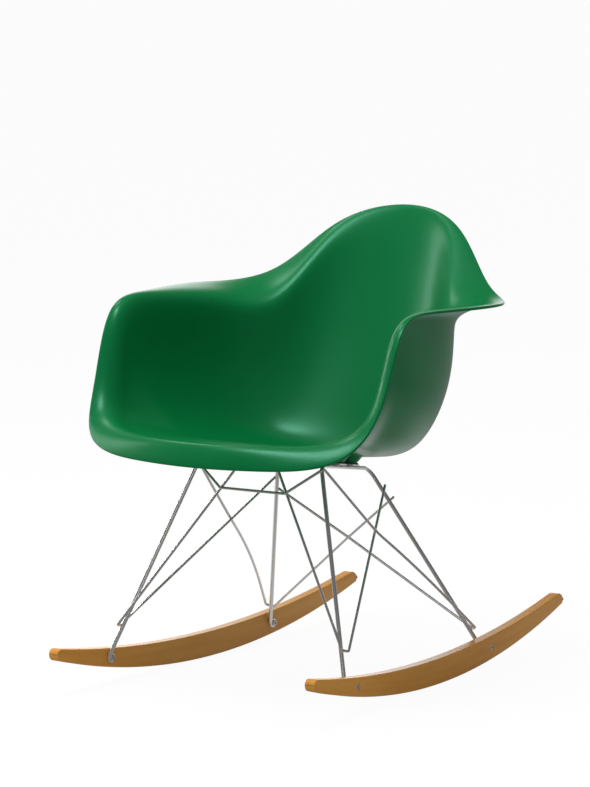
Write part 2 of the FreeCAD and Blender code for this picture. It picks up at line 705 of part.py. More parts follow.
doc.recompute()
for obj in doc.Objects:
    if "Invalid" in obj.State or "Error" in obj.State:
        raise RuntimeError("failed object: " + obj.Name)
os.makedirs("parts", exist_ok=True)
for node in nodes:
    shape = node.Shape
    if shape.isNull() or not shape.isValid():
        raise RuntimeError("bad shape: " + node.Name)
    node.Label = node.Name
    shape.exportStep("parts/" + node.Label + ".step")
    print("%-28s solids %d  volume %.0f" % (node.Label, len(shape.Solids), shape.Volume))
for title, brace, spine in (("front brace", front_brace, front_spine),
                            ("rear brace", rear_brace, rear_spine)):
    section = math.pi * size("brace_wire") ** 2 / 4
    print(title, "volume over section times length: %.4f"
          % (brace.Shape.Volume / (section * spine.Length)))
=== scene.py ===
import math

import bmesh
import bpy
from mathutils import Matrix, Vector
from mathutils.bvhtree import BVHTree


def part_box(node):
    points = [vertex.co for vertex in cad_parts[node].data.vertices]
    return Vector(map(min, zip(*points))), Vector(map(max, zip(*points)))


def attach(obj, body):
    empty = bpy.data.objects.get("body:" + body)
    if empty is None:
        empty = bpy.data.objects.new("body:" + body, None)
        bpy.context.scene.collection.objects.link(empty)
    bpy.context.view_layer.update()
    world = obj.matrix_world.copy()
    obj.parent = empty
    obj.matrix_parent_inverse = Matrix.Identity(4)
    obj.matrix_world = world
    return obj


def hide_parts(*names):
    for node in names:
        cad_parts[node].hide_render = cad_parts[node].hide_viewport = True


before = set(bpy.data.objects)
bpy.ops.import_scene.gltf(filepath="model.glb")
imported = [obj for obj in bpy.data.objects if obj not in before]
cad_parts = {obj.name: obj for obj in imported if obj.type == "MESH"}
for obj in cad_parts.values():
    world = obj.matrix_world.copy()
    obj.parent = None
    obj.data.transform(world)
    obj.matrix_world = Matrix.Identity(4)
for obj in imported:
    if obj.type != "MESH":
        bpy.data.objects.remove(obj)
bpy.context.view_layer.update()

scene = bpy.context.scene
scene.view_settings.view_transform = "Standard"


# Camera: a long lens nine metres away, to the chair's left and a little above the seat,
# tipped a degree and a half. Its place was fitted to the corners of the rockers and wires.
CAMERA_DISTANCE = 9.222
CAMERA_AZIMUTH = math.radians(35.3)
CAMERA_ELEVATION = math.radians(8.9752)
CAMERA_ROLL = math.radians(-1.5207)
CAMERA_TARGET = Vector((-0.0432, 0, 0.4617))
FOCAL_PIXELS = 5537
PHOTO_HEIGHT = 787
SENSOR_WIDTH = 36
CAMERA_FAR = 60

# the camera's own ways: back from the chair, level to its right, and upright
back = Vector((math.sin(CAMERA_AZIMUTH) * math.cos(CAMERA_ELEVATION),
               -math.cos(CAMERA_AZIMUTH) * math.cos(CAMERA_ELEVATION),
               math.sin(CAMERA_ELEVATION)))
level = Vector((math.cos(CAMERA_AZIMUTH), math.sin(CAMERA_AZIMUTH), 0))
upright = back.cross(level)
right = level * math.cos(CAMERA_ROLL) + upright * math.sin(CAMERA_ROLL)
up = upright * math.cos(CAMERA_ROLL) - level * math.sin(CAMERA_ROLL)
camera_data = bpy.data.cameras.new("camera")
camera_data.sensor_width = SENSOR_WIDTH
camera_data.lens = FOCAL_PIXELS * SENSOR_WIDTH / PHOTO_HEIGHT
camera_data.clip_end = CAMERA_FAR
camera = bpy.data.objects.new("camera", camera_data)
camera.matrix_world = Matrix((right, up, back)).transposed().to_4x4()
camera.location = CAMERA_TARGET + back * CAMERA_DISTANCE
scene.collection.objects.link(camera)
scene.camera = camera


# Studio: a pale floor that runs off into a white surround, and five soft lamps over the chair,
# in front of it and to its right. In reflections the surround is bright beyond the chair and
# dark above and in front of it, as in a room lit from one end.
class Channel:
    """One socket of a material, with arithmetic that adds Math nodes."""

    def __init__(self, shader, socket):
        self.shader = shader
        self.socket = socket

    def math(self, operation, *values):
        return self.shader.node("ShaderNodeMath", {"operation": operation},
                                dict(enumerate((self,) + values)))

    def __add__(self, other):
        return self.math("ADD", other)

    def __sub__(self, other):
        return self.math("SUBTRACT", other)

    def __rsub__(self, other):
        return self.shader.node("ShaderNodeMath", {"operation": "SUBTRACT"}, {0: other, 1: self})

    def __mul__(self, other):
        return self.math("MULTIPLY", other)

    def __truediv__(self, other):
        return self.math("DIVIDE", other)

    def clamp(self):
        self.socket.node.use_clamp = True
        return self

    __radd__ = __add__
    __rmul__ = __mul__


class Shader:
    """Adds nodes to one node tree and joins them."""

    def __init__(self, tree):
        self.tree = tree
        tree.nodes.clear()

    def node(self, kind, settings, inputs, output=0):
        made = self.tree.nodes.new(kind)
        for name, value in settings.items():
            if name == "stops":
                ramp = made.color_ramp.elements
                while len(ramp) < len(value):
                    ramp.new(0.5)
                for element, (place, colour) in zip(ramp, value):
                    element.position = place
                    element.color = colour
            else:
                setattr(made, name, value)
        for name, value in inputs.items():
            if isinstance(value, Channel):
                self.tree.links.new(value.socket, made.inputs[name])
            else:
                made.inputs[name].default_value = value
        return Channel(self, made.outputs[output]) if len(made.outputs) else None

    def mix(self, factor, a, b):
        return self.node("ShaderNodeMix", {"data_type": "RGBA"}, {0: factor, 6: a, 7: b}, 2)

    def speckle(self, scale, detail=2.0, stretch=(1, 1, 1), where=None):
        """Noise from 0 to 1 over the piece, scale lumps to a metre, stretched along an axis."""
        where = where or self.node("ShaderNodeTexCoord", {}, {}, "Object")
        sized = self.node("ShaderNodeVectorMath", {"operation": "MULTIPLY"},
                          {0: where, 1: [scale * share for share in stretch]})
        return self.node("ShaderNodeTexNoise", {},
                         {"Vector": sized, "Scale": 1.0, "Detail": detail})

    def bump(self, height, depth):
        """A bump normal from a height of 0 to 1 that stands for depth metres."""
        return self.node("ShaderNodeBump", {},
                         {"Height": height, "Distance": depth, "Strength": 1.0})

    def finish(self, **inputs):
        """Joins a Principled shader, its inputs named with underscores, to the output."""
        named = {name.replace("_", " "): value for name, value in inputs.items()}
        surface = self.node("ShaderNodeBsdfPrincipled", {}, named)
        self.node("ShaderNodeOutputMaterial", {}, {"Surface": surface})


def from_screen(red, green, blue):
    """A colour as it is read off a screen, in linear light, with full alpha."""
    return tuple((v / 12.92 if v <= 0.04045 else ((v + 0.055) / 1.055) ** 2.4)
                 for v in (red / 255, green / 255, blue / 255)) + (1,)


FLOOR_HALF = 30
WHITE = (1, 1, 1, 1)
# the surround's light on matt surfaces
WORLD_FILL = 0.45
# the surround in reflections: its dark middle, its brightness at each end, and how far round
# (as a cosine from the dark middle) it goes from the one to the other
DARK_WAY = Vector((0.5, -0.7, 0.5)).normalized()
BRIGHT_SIDE = 2.8
DARK_SIDE = 0.1
DARK_FROM = -0.9
DARK_TO = -0.48
# the floor's own paint, what it shows the camera, and how much of that covers its shadows
FLOOR_PAINT = 0.55
FLOOR_LIGHT = 1.05
FLOOR_GLOW = 0.9
# the floor's glow in reflections is painted darker towards the camera and away from the chair, in
# metres
FLOOR_DARK_FROM = -1.0
FLOOR_DARK_TO = 0.3
FLOOR_NEAR = (0.5, 1.3)
FLOOR_FADE = (1.3, 0.4)
# each lamp: place, what it points at, width, length, watts, and whether gloss mirrors it
LAMPS = {"overhead": ((-0.3, 0.1, 3.2), (0, 0, 0.4), 2.0, 2.0, 34, False),
         "side": ((-2.4, -2.0, 1.9), (0, 0, 0.5), 1.2, 1.6, 15, False),
         "rear": ((-1.75, 0.35, 2.6), (0, 0, 0.4), 0.6, 0.6, 6, True),
         "front": ((-0.45, -1.1, 3.0), (0, 0, 0.4), 1.1, 0.6, 28, True),
         "strip": ((-3.0, -0.4, 1.4), (0, 0, 0.6), 0.3, 1.6, 14, True)}

world = bpy.data.worlds.new("studio")
world.use_nodes = True
scene.world = world
sky = Shader(world.node_tree)
way = sky.node("ShaderNodeTexCoord", {}, {}, "Generated")
facing = sky.node("ShaderNodeVectorMath", {"operation": "DOT_PRODUCT"}, {0: way, 1: DARK_WAY}, 1)
shade = sky.node("ShaderNodeMapRange", {"interpolation_type": "SMOOTHSTEP"},
                 {0: facing, 1: DARK_FROM, 2: DARK_TO, 3: BRIGHT_SIDE, 4: DARK_SIDE})
ray = sky.node("ShaderNodeLightPath", {}, {}, "Is Camera Ray")
glossy = sky.node("ShaderNodeLightPath", {}, {}, "Is Glossy Ray")
unlit = (1 - ray) * (1 - glossy)
strength = ray + glossy * (1 - ray) * shade + unlit * WORLD_FILL
background = sky.node("ShaderNodeBackground", {}, {"Color": WHITE, "Strength": strength})
sky.node("ShaderNodeOutputWorld", {}, {"Surface": background})

floor_mesh = bpy.data.meshes.new("floor")
floor_mesh.from_pydata([(-FLOOR_HALF, -FLOOR_HALF, 0), (FLOOR_HALF, -FLOOR_HALF, 0),
                        (FLOOR_HALF, FLOOR_HALF, 0), (-FLOOR_HALF, FLOOR_HALF, 0)],
                       [], [(0, 1, 2, 3)])
floor = bpy.data.objects.new("floor", floor_mesh)
scene.collection.objects.link(floor)
pale = bpy.data.materials.new("pale_floor")
pale.use_nodes = True
paint = Shader(pale.node_tree)
matt = paint.node("ShaderNodeBsdfDiffuse", {}, {"Color": (FLOOR_PAINT,) * 3 + (1,)})
spot = paint.node("ShaderNodeTexCoord", {}, {}, "Object")
# painted fall-off of the floor's glow, seen only in reflections: darker towards the camera and
# far from the chair
ahead = paint.node("ShaderNodeVectorMath", {"operation": "DOT_PRODUCT"}, {0: spot, 1: back}, 1)
dimmed = paint.node("ShaderNodeMapRange", {"interpolation_type": "SMOOTHSTEP"},
                    {0: ahead, 1: FLOOR_DARK_FROM, 2: FLOOR_DARK_TO, 3: 1.0, 4: DARK_SIDE})
away = paint.node("ShaderNodeVectorMath", {"operation": "LENGTH"}, {0: spot}, 1)
fade = paint.node("ShaderNodeMapRange", {"interpolation_type": "SMOOTHSTEP"},
                  {0: away, 1: FLOOR_NEAR[0], 2: FLOOR_NEAR[1],
                   3: FLOOR_FADE[0], 4: FLOOR_FADE[1]})
looked_at = paint.node("ShaderNodeLightPath", {}, {}, "Is Camera Ray")
mirrored = paint.node("ShaderNodeLightPath", {}, {}, "Is Glossy Ray")
shown = looked_at * FLOOR_LIGHT + (1 - looked_at) * dimmed * fade
glow = paint.node("ShaderNodeEmission", {}, {"Color": WHITE, "Strength": shown})
share = (looked_at + mirrored).clamp() * FLOOR_GLOW
surface = paint.node("ShaderNodeMixShader", {}, {0: share, 1: matt, 2: glow})
paint.node("ShaderNodeOutputMaterial", {}, {"Surface": surface})
floor_mesh.materials.append(pale)


def soft_lamp(name, place, aim, width, length, watts, mirrored):
    """An oblong lamp that points at a place; one that isn't mirrored leaves gloss alone."""
    data = bpy.data.lights.new(name, "AREA")
    data.shape = "RECTANGLE"
    data.size = width
    data.size_y = length
    data.energy = watts
    lamp = bpy.data.objects.new(name, data)
    lamp.location = place
    lamp.rotation_euler = (Vector(aim) - Vector(place)).to_track_quat("-Z", "Y").to_euler()
    lamp.visible_glossy = mirrored
    scene.collection.objects.link(lamp)
    return lamp


for name, values in LAMPS.items():
    soft_lamp(name, *values)


# Rockers: two bowed runners cut from light hardwood, their long edges rounded off and their
# faces sanded along the grain under a clear satin lacquer. They toe in a little, and two bolts
# through stepped holes fix each of them to a side frame.
MM = 0.001
ROCKER_REACH = {"front": 405 * MM, "rear": 400 * MM}
ROCKER_THICKNESS = 19.5 * MM
ROCKER_DEPTH = 42.3 * MM
ROCKER_BOTTOM_RADIUS = 1345 * MM
ROCKER_TOP_RADIUS = 2075 * MM
ROCKER_TRACK = 469 * MM
ROCKER_TOE = math.radians(3.1)
ROCKER_EDGE = 1.5 * MM
# each tip corner's radius, as a share of the tip's height
FRONT_TIP_SHARE = 0.47
REAR_TIP_OVER_SHARE = 0.6
REAR_TIP_UNDER_SHARE = 0.3
# the length of each tip that is left to its corners, and the points along the rest
TIP_CLEAR = 22 * MM
ROCKER_STATIONS = 60
CORNER_STEPS = 10
EDGE_STEPS = 4
BOLT_PLACES = {"front": -273 * MM, "rear": 157 * MM}
BORE_RADIUS = 3.3 * MM
SINK_RADIUS = 5.8 * MM
SINK_DEPTH = 9.6 * MM
HOLE_SIDES = 40
NEARLY_STRAIGHT = 1e-4
SHARP_TURN = math.radians(40)
# the wood's fibres, figure and cloudy tone: lumps to a metre, how they are drawn out along
# the grain, and their share of the colour
FIBRES = 1100
FIBRE_STRETCH = (1, 0.012, 1)
FIBRE_SHARE = 0.25
FIGURE = 90
FIGURE_STRETCH = (1, 0.03, 1)
FIGURE_SHARE = 0.55
CLOUD = 9
CLOUD_STRETCH = (1, 0.6, 1)
CLOUD_SHARE = 0.3
TONE_DROP = 0.05
WOOD_DETAIL = 3.0
FIBRE_DEPTH = 0.04 * MM
LACQUER_ROUGHNESS = 0.28
FIBRE_ROUGHNESS = 0.1
WOOD_TONES = ((0.25, from_screen(206, 135, 42)), (0.5, from_screen(220, 153, 58)),
              (0.8, from_screen(228, 168, 80)))


def rocker_point(side, across, along, height):
    """A point of the rocker on one side, measured from its own middle plane and middle."""
    x = ROCKER_TRACK / 2 + across * math.cos(ROCKER_TOE) - along * math.sin(ROCKER_TOE)
    y = across * math.sin(ROCKER_TOE) + along * math.cos(ROCKER_TOE)
    return Vector((side * x, y, height))


def rocker_heights(along):
    """The rocker's underside and top above the floor at a distance along it."""
    under = ROCKER_BOTTOM_RADIUS - math.sqrt(ROCKER_BOTTOM_RADIUS ** 2 - along ** 2)
    over = ROCKER_DEPTH + ROCKER_TOP_RADIUS - math.sqrt(ROCKER_TOP_RADIUS ** 2 - along ** 2)
    return under, over


def rocker_mid_height(along):
    return sum(rocker_heights(along)) / 2


def bend_path(points, radii, steps):
    """Points along straight runs joined by tangent arcs; a radius of 0 keeps the corner."""
    path = [points[0]]
    for before, corner, after, radius in zip(points, points[1:], points[2:], radii):
        inward = (before - corner).normalized()
        onward = (after - corner).normalized()
        half = inward.angle(onward) / 2
        if radius == 0 or half > math.pi / 2 - NEARLY_STRAIGHT:
            path.append(corner)
            continue
        hub = corner + (inward + onward).normalized() * radius / math.sin(half)
        first = corner + inward * radius / math.tan(half) - hub
        last = corner + onward * radius / math.tan(half) - hub
        sweep = first.angle(last)
        for j in range(steps + 1):
            turned = (first * math.sin(sweep * (1 - j / steps))
                      + last * math.sin(sweep * j / steps)) / math.sin(sweep)
            path.append(hub + turned)
    path.append(points[-1])
    return path


def new_material(name):
    material = bpy.data.materials.new(name)
    material.use_nodes = True
    return material, Shader(material.node_tree)


def dress(node, material):
    """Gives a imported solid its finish."""
    node.data.materials.clear()
    node.data.materials.append(material)


def new_piece(name, mesh, material, stands_for=None):
    """Puts a mesh in the scene as a piece of the chair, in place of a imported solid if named."""
    piece = bpy.data.objects.new(name, mesh)
    scene.collection.objects.link(piece)
    mesh.materials.append(material)
    mesh.shade_smooth()
    mesh.set_sharp_from_angle(angle=SHARP_TURN)
    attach(piece, "root")
    if stands_for:
        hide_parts(stands_for)
    return piece


def ring_mesh(name, rows, first=None, last=None, sides=False):
    """A mesh of quads between closed rows, closed by a fan to a point or by flat sides."""
    mesh = bmesh.new()
    made = [[mesh.verts.new(p) for p in row] for row in rows]
    for row, after in zip(made, made[1:]):
        for i in range(len(row)):
            mesh.faces.new((row[i - 1], row[i], after[i], after[i - 1]))
    for tip, row in ((first, made[0]), (last, made[-1][::-1])):
        if tip is not None:
            hub = mesh.verts.new(tip)
            for i in range(len(row)):
                mesh.faces.new((row[i], row[i - 1], hub))
        if sides:
            half = len(row) // 2
            mesh.faces.new((row[0], row[1], row[-1]))
            for i in range(1, half - 1):
                mesh.faces.new((row[i], row[i + 1], row[-i - 1], row[-i]))
            mesh.faces.new((row[half - 1], row[half], row[half + 1]))
    bmesh.ops.recalc_face_normals(mesh, faces=mesh.faces)
    data = bpy.data.meshes.new(name)
    mesh.to_mesh(data)
    mesh.free()
    return data


def rocker_outline():
    """The side view as a closed run of (along, height): the underside, then the top back."""
    ends = []
    for along in (-ROCKER_REACH["front"], ROCKER_REACH["rear"]):
        under, over = rocker_heights(along)
        ends.append((along, under, over, (under + over) / 2))
    first = ends[0][0] + TIP_CLEAR
    last = ends[1][0] - TIP_CLEAR
    stations = [first + (last - first) * i / ROCKER_STATIONS for i in range(ROCKER_STATIONS + 1)]
    paths = []
    for level, shares in ((0, (FRONT_TIP_SHARE, REAR_TIP_UNDER_SHARE)),
                          (1, (FRONT_TIP_SHARE, REAR_TIP_OVER_SHARE))):
        front, rear = (Vector((0, end[0], end[1 + level])) for end in ends)
        points = [Vector((0, ends[0][0], ends[0][3])), front]
        points += [Vector((0, along, rocker_heights(along)[level])) for along in stations]
        points += [rear, Vector((0, ends[1][0], ends[1][3]))]
        radii = [share * (end[2] - end[1]) for share, end in zip(shares, ends)]
        radii = [radii[0]] + [0] * len(stations) + [radii[1]]
        paths.append(bend_path(points, radii, CORNER_STEPS))
    return paths[0] + paths[1][-2:0:-1]


def inset(outline, distance):
    """The outline drawn in by a distance."""
    moved = []
    for i, point in enumerate(outline):
        chord = outline[(i + 1) % len(outline)] - outline[i - 1]
        moved.append(point + Vector((0, -chord.z, chord.y)).normalized() * distance)
    return moved


def rocker_rows(side):
    """Outlines across the rocker's thickness, drawn in over each rounded long edge."""
    outline = rocker_outline()
    half = ROCKER_THICKNESS / 2
    levels = [(-half, 2 * ROCKER_EDGE)]
    for step in range(EDGE_STEPS + 1):
        turn = math.pi / 2 * step / EDGE_STEPS
        levels.append((-half + ROCKER_EDGE * (1 - math.cos(turn)),
                       ROCKER_EDGE * (1 - math.sin(turn))))
    levels.append((-half + 2 * ROCKER_EDGE, 0))
    levels += [(-across, drawn) for across, drawn in levels[::-1]]
    return [[rocker_point(side, across, p.y, p.z) for p in inset(outline, drawn)]
            for across, drawn in levels]


def turned_rows(side, end, profile):
    """Rings round the axis of a bolt, one for each (radius, across) of a profile."""
    along = BOLT_PLACES[end]
    turns = [2 * math.pi * i / HOLE_SIDES for i in range(HOLE_SIDES)]
    return [[rocker_point(side, across, along + radius * math.cos(turn),
                          rocker_mid_height(along) + radius * math.sin(turn))
             for turn in turns] for radius, across in profile]


def drill(piece, side):
    """Cuts the two stepped bolt holes, wider at the outer face where the nuts sit."""
    half = ROCKER_THICKNESS / 2
    profile = ((BORE_RADIUS, -2 * half), (BORE_RADIUS, half - SINK_DEPTH),
               (SINK_RADIUS, half - SINK_DEPTH), (SINK_RADIUS, 2 * half))
    cutters = []
    for end, along in BOLT_PLACES.items():
        middles = [rocker_point(side, across, along, rocker_mid_height(along))
                   for across in (-2 * half, 2 * half)]
        cutter = bpy.data.objects.new(
            "cutter", ring_mesh("cutter", turned_rows(side, end, profile), *middles))
        scene.collection.objects.link(cutter)
        cut = piece.modifiers.new(end, "BOOLEAN")
        cut.operation = "DIFFERENCE"
        cut.solver = "EXACT"
        cut.object = cutter
        cutters.append(cutter)
    drilled = piece.evaluated_get(bpy.context.evaluated_depsgraph_get())
    mesh = bpy.data.meshes.new_from_object(drilled)
    piece.modifiers.clear()
    piece.data = mesh
    for cutter in cutters:
        bpy.data.objects.remove(cutter)
    mesh.set_sharp_from_angle(angle=SHARP_TURN)


wood, grain = new_material("lacquered_wood")
place = grain.node("ShaderNodeTexCoord", {}, {}, "Object")
apart = grain.node("ShaderNodeSeparateXYZ", {}, {0: place})
along = Channel(grain, apart.socket.node.outputs[1])
height = Channel(grain, apart.socket.node.outputs[2])
bowed = height - along * along / (ROCKER_BOTTOM_RADIUS + ROCKER_TOP_RADIUS)
straight = grain.node("ShaderNodeCombineXYZ", {}, {0: apart, 1: along, 2: bowed})
fibres = grain.speckle(FIBRES, WOOD_DETAIL, FIBRE_STRETCH, straight)
figure = grain.speckle(FIGURE, WOOD_DETAIL, FIGURE_STRETCH, straight)
cloud = grain.speckle(CLOUD, stretch=CLOUD_STRETCH, where=straight)
tone = figure * FIGURE_SHARE + cloud * CLOUD_SHARE + fibres * FIBRE_SHARE - TONE_DROP
colour = grain.node("ShaderNodeValToRGB", {"stops": WOOD_TONES}, {0: tone.clamp()})
grain.finish(Base_Color=colour, Roughness=fibres * FIBRE_ROUGHNESS + LACQUER_ROUGHNESS,
             Normal=grain.bump(fibres, FIBRE_DEPTH))
for side, hand in ((1, "left"), (-1, "right")):
    rocker = ring_mesh(hand + "_runner", rocker_rows(side), sides=True)
    drill(new_piece(hand + "_runner", rocker, wood, hand + "_rocker"), side)


# Side frames: one seven-millimetre steel wire each, bent cold from the front foot up, back
# along the rail and down to the rear foot, with a flattened eye at each foot, all chromed.
FRAME_WIRE = 7 * MM
# the room left between two wires, or a wire and a rocker, that lie against each other
WIRE_GAP = 0.1 * MM
EYE_RADIUS = 8 * MM
EYE_THICKNESS = 5 * MM
EYE_ROUND = 1.2 * MM
KNEE_RISE = 6 * MM
KNEE_RADIUS = 8 * MM
# how far behind the wire's end the eye's middle is
EYE_BEHIND = {"front": 5 * MM, "rear": 7 * MM}
RAIL_ENDS = {"front": (120.5 * MM, -162.5 * MM), "rear": (92 * MM, 15 * MM)}
FRONT_TOP_RADIUS = 14 * MM
REAR_TOP_RADIUS = 32 * MM
# the rail's middle below the shell's underside, and the shell's own thickness
RAIL_DROP = 15.7 * MM
SHELL_THICKNESS = 5 * MM
# the seat leans back by this about its flat middle
SEAT_TILT = math.radians(10.8)
SEAT_CENTRE = Vector((0, -21, 371.3)) * MM
WIRE_SIDES = 24
BEND_STEPS = 10
END_ROUND = 0.6 * MM
UP = Vector((0, 0, 1))
HAZE = 60
HAZE_ROUGHNESS = 0.04
CHROME_ROUGHNESS = 0.1
CHROME_DULL = (0.8, 0.8, 0.79, 1)
CHROME_PALE = (0.9, 0.9, 0.88, 1)


def seat_point(across, along, raised):
    """A point on the seat's leaning plane, raised above its face."""
    return SEAT_CENTRE + Vector((across,
                                 along * math.cos(SEAT_TILT) + raised * math.sin(SEAT_TILT),
                                 raised * math.cos(SEAT_TILT) - along * math.sin(SEAT_TILT)))


def foot_point(side, end):
    """Where the leg's wire ends, level with the bolt and a little in front of it."""
    along = BOLT_PLACES[end]
    across = -ROCKER_THICKNESS / 2 - FRAME_WIRE / 2 - WIRE_GAP
    return rocker_point(side, across, along - EYE_BEHIND[end], rocker_mid_height(along))


def knee_point(side, end):
    return foot_point(side, end) + UP * KNEE_RISE


def rail_end(side, end):
    """Where the rail's straight line meets the leg's."""
    line = seat_point(0, 0, -RAIL_DROP - SHELL_THICKNESS)
    x, y = RAIL_ENDS[end]
    return Vector((side * x, y, line.z - (y - line.y) * math.tan(SEAT_TILT)))


def leg_frame(side, end, height):
    """The leg's axis point at a height, with its outward and fore-aft (away) directions."""
    low = knee_point(side, end)
    high = rail_end(side, end)
    point = low.lerp(high, (height - low.z) / (high.z - low.z))
    leg = (high - low).normalized()
    outward = Vector((side, 0, 0))
    outward = (outward - leg * outward.dot(leg)).normalized()
    away = Vector((0, -1 if end == "front" else 1, 0))
    away = away - leg * away.dot(leg)
    return point, outward, (away - outward * away.dot(outward)).normalized()


def tube_rows(path, radius):
    """Rings round a path, turned as little as they can be, with the ends' edges taken off."""
    ways = [(b - a).normalized() for a, b in zip(path, path[1:])]
    tangents = [ways[0]] + [(a + b).normalized() for a, b in zip(ways, ways[1:])] + [ways[-1]]
    spoke = tangents[0].orthogonal().normalized()
    frames = []
    for i, tangent in enumerate(tangents):
        if i:
            spoke = tangents[i - 1].rotation_difference(tangent) @ spoke
        frames.append((path[i], tangent, spoke, radius))
    centre, tangent, spoke, _ = frames[0]
    frames[0] = (centre + tangent * END_ROUND, tangent, spoke, radius)
    frames.insert(0, (centre, tangent, spoke, radius - END_ROUND))
    centre, tangent, spoke, _ = frames[-1]
    frames[-1] = (centre - tangent * END_ROUND, tangent, spoke, radius)
    frames.append((centre, tangent, spoke, radius - END_ROUND))
    rows = []
    for centre, tangent, spoke, reach in frames:
        side_way = tangent.cross(spoke)
        turns = [2 * math.pi * i / WIRE_SIDES for i in range(WIRE_SIDES)]
        rows.append([centre + (spoke * math.cos(turn) + side_way * math.sin(turn)) * reach
                     for turn in turns])
    return rows


def joined(name, meshes):
    """One mesh from several."""
    whole = bmesh.new()
    for mesh in meshes:
        whole.from_mesh(mesh)
    data = bpy.data.meshes.new(name)
    whole.to_mesh(data)
    whole.free()
    return data


def eye_rows(side, end):
    """The flattened eye at a foot: a ring with rounded edges round the bolt's hole."""
    face = -ROCKER_THICKNESS / 2
    back_face = face - EYE_THICKNESS
    profile = [(BORE_RADIUS, face), (BORE_RADIUS, back_face)]
    for step in range(EDGE_STEPS + 1):
        turn = math.pi / 2 * step / EDGE_STEPS
        profile.append((EYE_RADIUS - EYE_ROUND * (1 - math.sin(turn)),
                        back_face + EYE_ROUND * (1 - math.cos(turn))))
    return turned_rows(side, end, profile + [(EYE_RADIUS, face), (BORE_RADIUS, face)])


chrome, bright = new_material("chromed_wire")
haze = bright.speckle(HAZE)
bright.finish(Base_Color=bright.mix(haze, CHROME_DULL, CHROME_PALE),
              Roughness=haze * HAZE_ROUGHNESS + CHROME_ROUGHNESS, Metallic=0.85)
for side, hand in ((1, "left"), (-1, "right")):
    corners = [foot_point(side, "front"), knee_point(side, "front"), rail_end(side, "front"),
               rail_end(side, "rear"), knee_point(side, "rear"), foot_point(side, "rear")]
    path = bend_path(corners, (KNEE_RADIUS, FRONT_TOP_RADIUS, REAR_TOP_RADIUS, KNEE_RADIUS),
                     BEND_STEPS)
    wire = ring_mesh("wire", tube_rows(path, FRAME_WIRE / 2), path[0], path[-1])
    eyes = [ring_mesh("eye", eye_rows(side, end)) for end in BOLT_PLACES]
    new_piece(hand + "_frame_wire", joined(hand + "_frame_wire", [wire] + eyes), chrome,
              hand + "_side_frame")


# Braces: two thinner wires of the same chromed steel, welded to the legs. The front one runs
# from a rear leg round the front leg's foot to a peak under the seat and down the same way;
# the rear one crosses itself behind and runs across under the seat's front.
BRACE_WIRE = 4.6 * MM
VEE_RADIUS = 4.5 * MM
# a brace's turn at a foot: height, start out and away, end out and back, and the end's rise
VEES = {"front": (96 * MM, 6 * MM, 7 * MM, 10.5 * MM, 6 * MM, 0),
        "rear": (56 * MM, -0.5 * MM, 8.5 * MM, 10 * MM, 0, 5 * MM)}
CROSSING_RADIUS = 400 * MM
WRAP_DROP = 8 * MM
WRAP_RADIUS = 4 * MM
WRAP_TIGHT_RADIUS = 2.4 * MM
TOUCH_HEIGHT = 250 * MM
TOUCH_RADIUS = 350 * MM
BOW_SHARE = 0.42
BOW_BACK = 13 * MM
BOW_IN = 3.8 * MM
BOW_RADIUS = 1100 * MM
CROSSBAR_HALF = 65 * MM
CROSSBAR_FORWARD = 10.5 * MM
CROSSBAR_HEIGHT = 331 * MM
CROSSBAR_RADIUS = 9 * MM
PEAK_DROP = 2 * MM
PEAK_RADIUS = 9 * MM
FRONT_TIP_HEIGHT = 307 * MM
REAR_TIP_HEIGHT = 286 * MM
TIP_OVERRUN = 8 * MM
WRAP_REACH = (FRAME_WIRE + BRACE_WIRE) / 2 + WIRE_GAP
# a softbox that only the wires mirror, for the bright line along each of them
WIRE_LAMP_WAY = (back - level * 0.25 + UP * 0.1).normalized()
WIRE_LAMP_DISTANCE = 4
WIRE_LAMP_WIDTH = 1.0
WIRE_LAMP_LENGTH = 2.4
WIRE_LAMP_WATTS = 8


def vee(side, end):
    """The two corners of a brace's turn round the foot of a leg, first the inboard strand's."""
    level, start_out, start_away, end_out, end_back, rise = VEES[end]
    point, outward, away = leg_frame(side, end, level)
    finish = point + outward * end_out - away * end_back + UP * rise
    return point + outward * start_out + away * start_away, finish


def brace_tip(side, height, sideways):
    """Where a brace's free end crosses a rear leg: on its outer side, or behind it."""
    point, outward, away = leg_frame(side, "rear", height)
    return point + (outward if sideways else away) * WRAP_REACH


def overrun(start, tip):
    """The tip point pushed on along its strand, so the cut end shows past the leg."""
    return tip + (tip - start).normalized() * TIP_OVERRUN


def crossbar_point(side):
    """The crossbar's bend, a little in front of the legs at its height."""
    leg = leg_frame(side, "front", CROSSBAR_HEIGHT)[0]
    return Vector((side * CROSSBAR_HALF, leg.y - CROSSBAR_FORWARD, CROSSBAR_HEIGHT))


def touch_corner(side, before, after):
    """The corner whose arc lies against the outside of the front brace's outer strand."""
    low = vee(side, "front")[1]
    high = brace_tip(side, FRONT_TIP_HEIGHT, True)
    beside = low.lerp(high, (TOUCH_HEIGHT - low.z) / (high.z - low.z))
    off = (high - low).normalized().cross(after - before).normalized()
    touch = beside + off * (side if off.x > 0 else -side) * (BRACE_WIRE + WIRE_GAP)
    inward = (before - touch).normalized()
    onward = (after - touch).normalized()
    sag = TOUCH_RADIUS / math.sin(inward.angle(onward) / 2) - TOUCH_RADIUS
    return touch - (inward + onward).normalized() * sag


def front_brace_path():
    inner, outer = vee(1, "front")
    tip = brace_tip(1, FRONT_TIP_HEIGHT, True)
    cross = crossbar_point(1) + Vector((0, BRACE_WIRE + WIRE_GAP, 0))
    peak_z = rail_end(1, "front").z - PEAK_DROP
    peak = cross + (cross - inner) * ((peak_z - cross.z) / (cross.z - inner.z))
    half = [overrun(outer, tip), outer, inner, peak]
    corners = half + [Vector((-p.x, p.y, p.z)) for p in reversed(half)]
    bends = [VEE_RADIUS, VEE_RADIUS, PEAK_RADIUS]
    return bend_path(corners, bends + bends[::-1], BEND_STEPS)


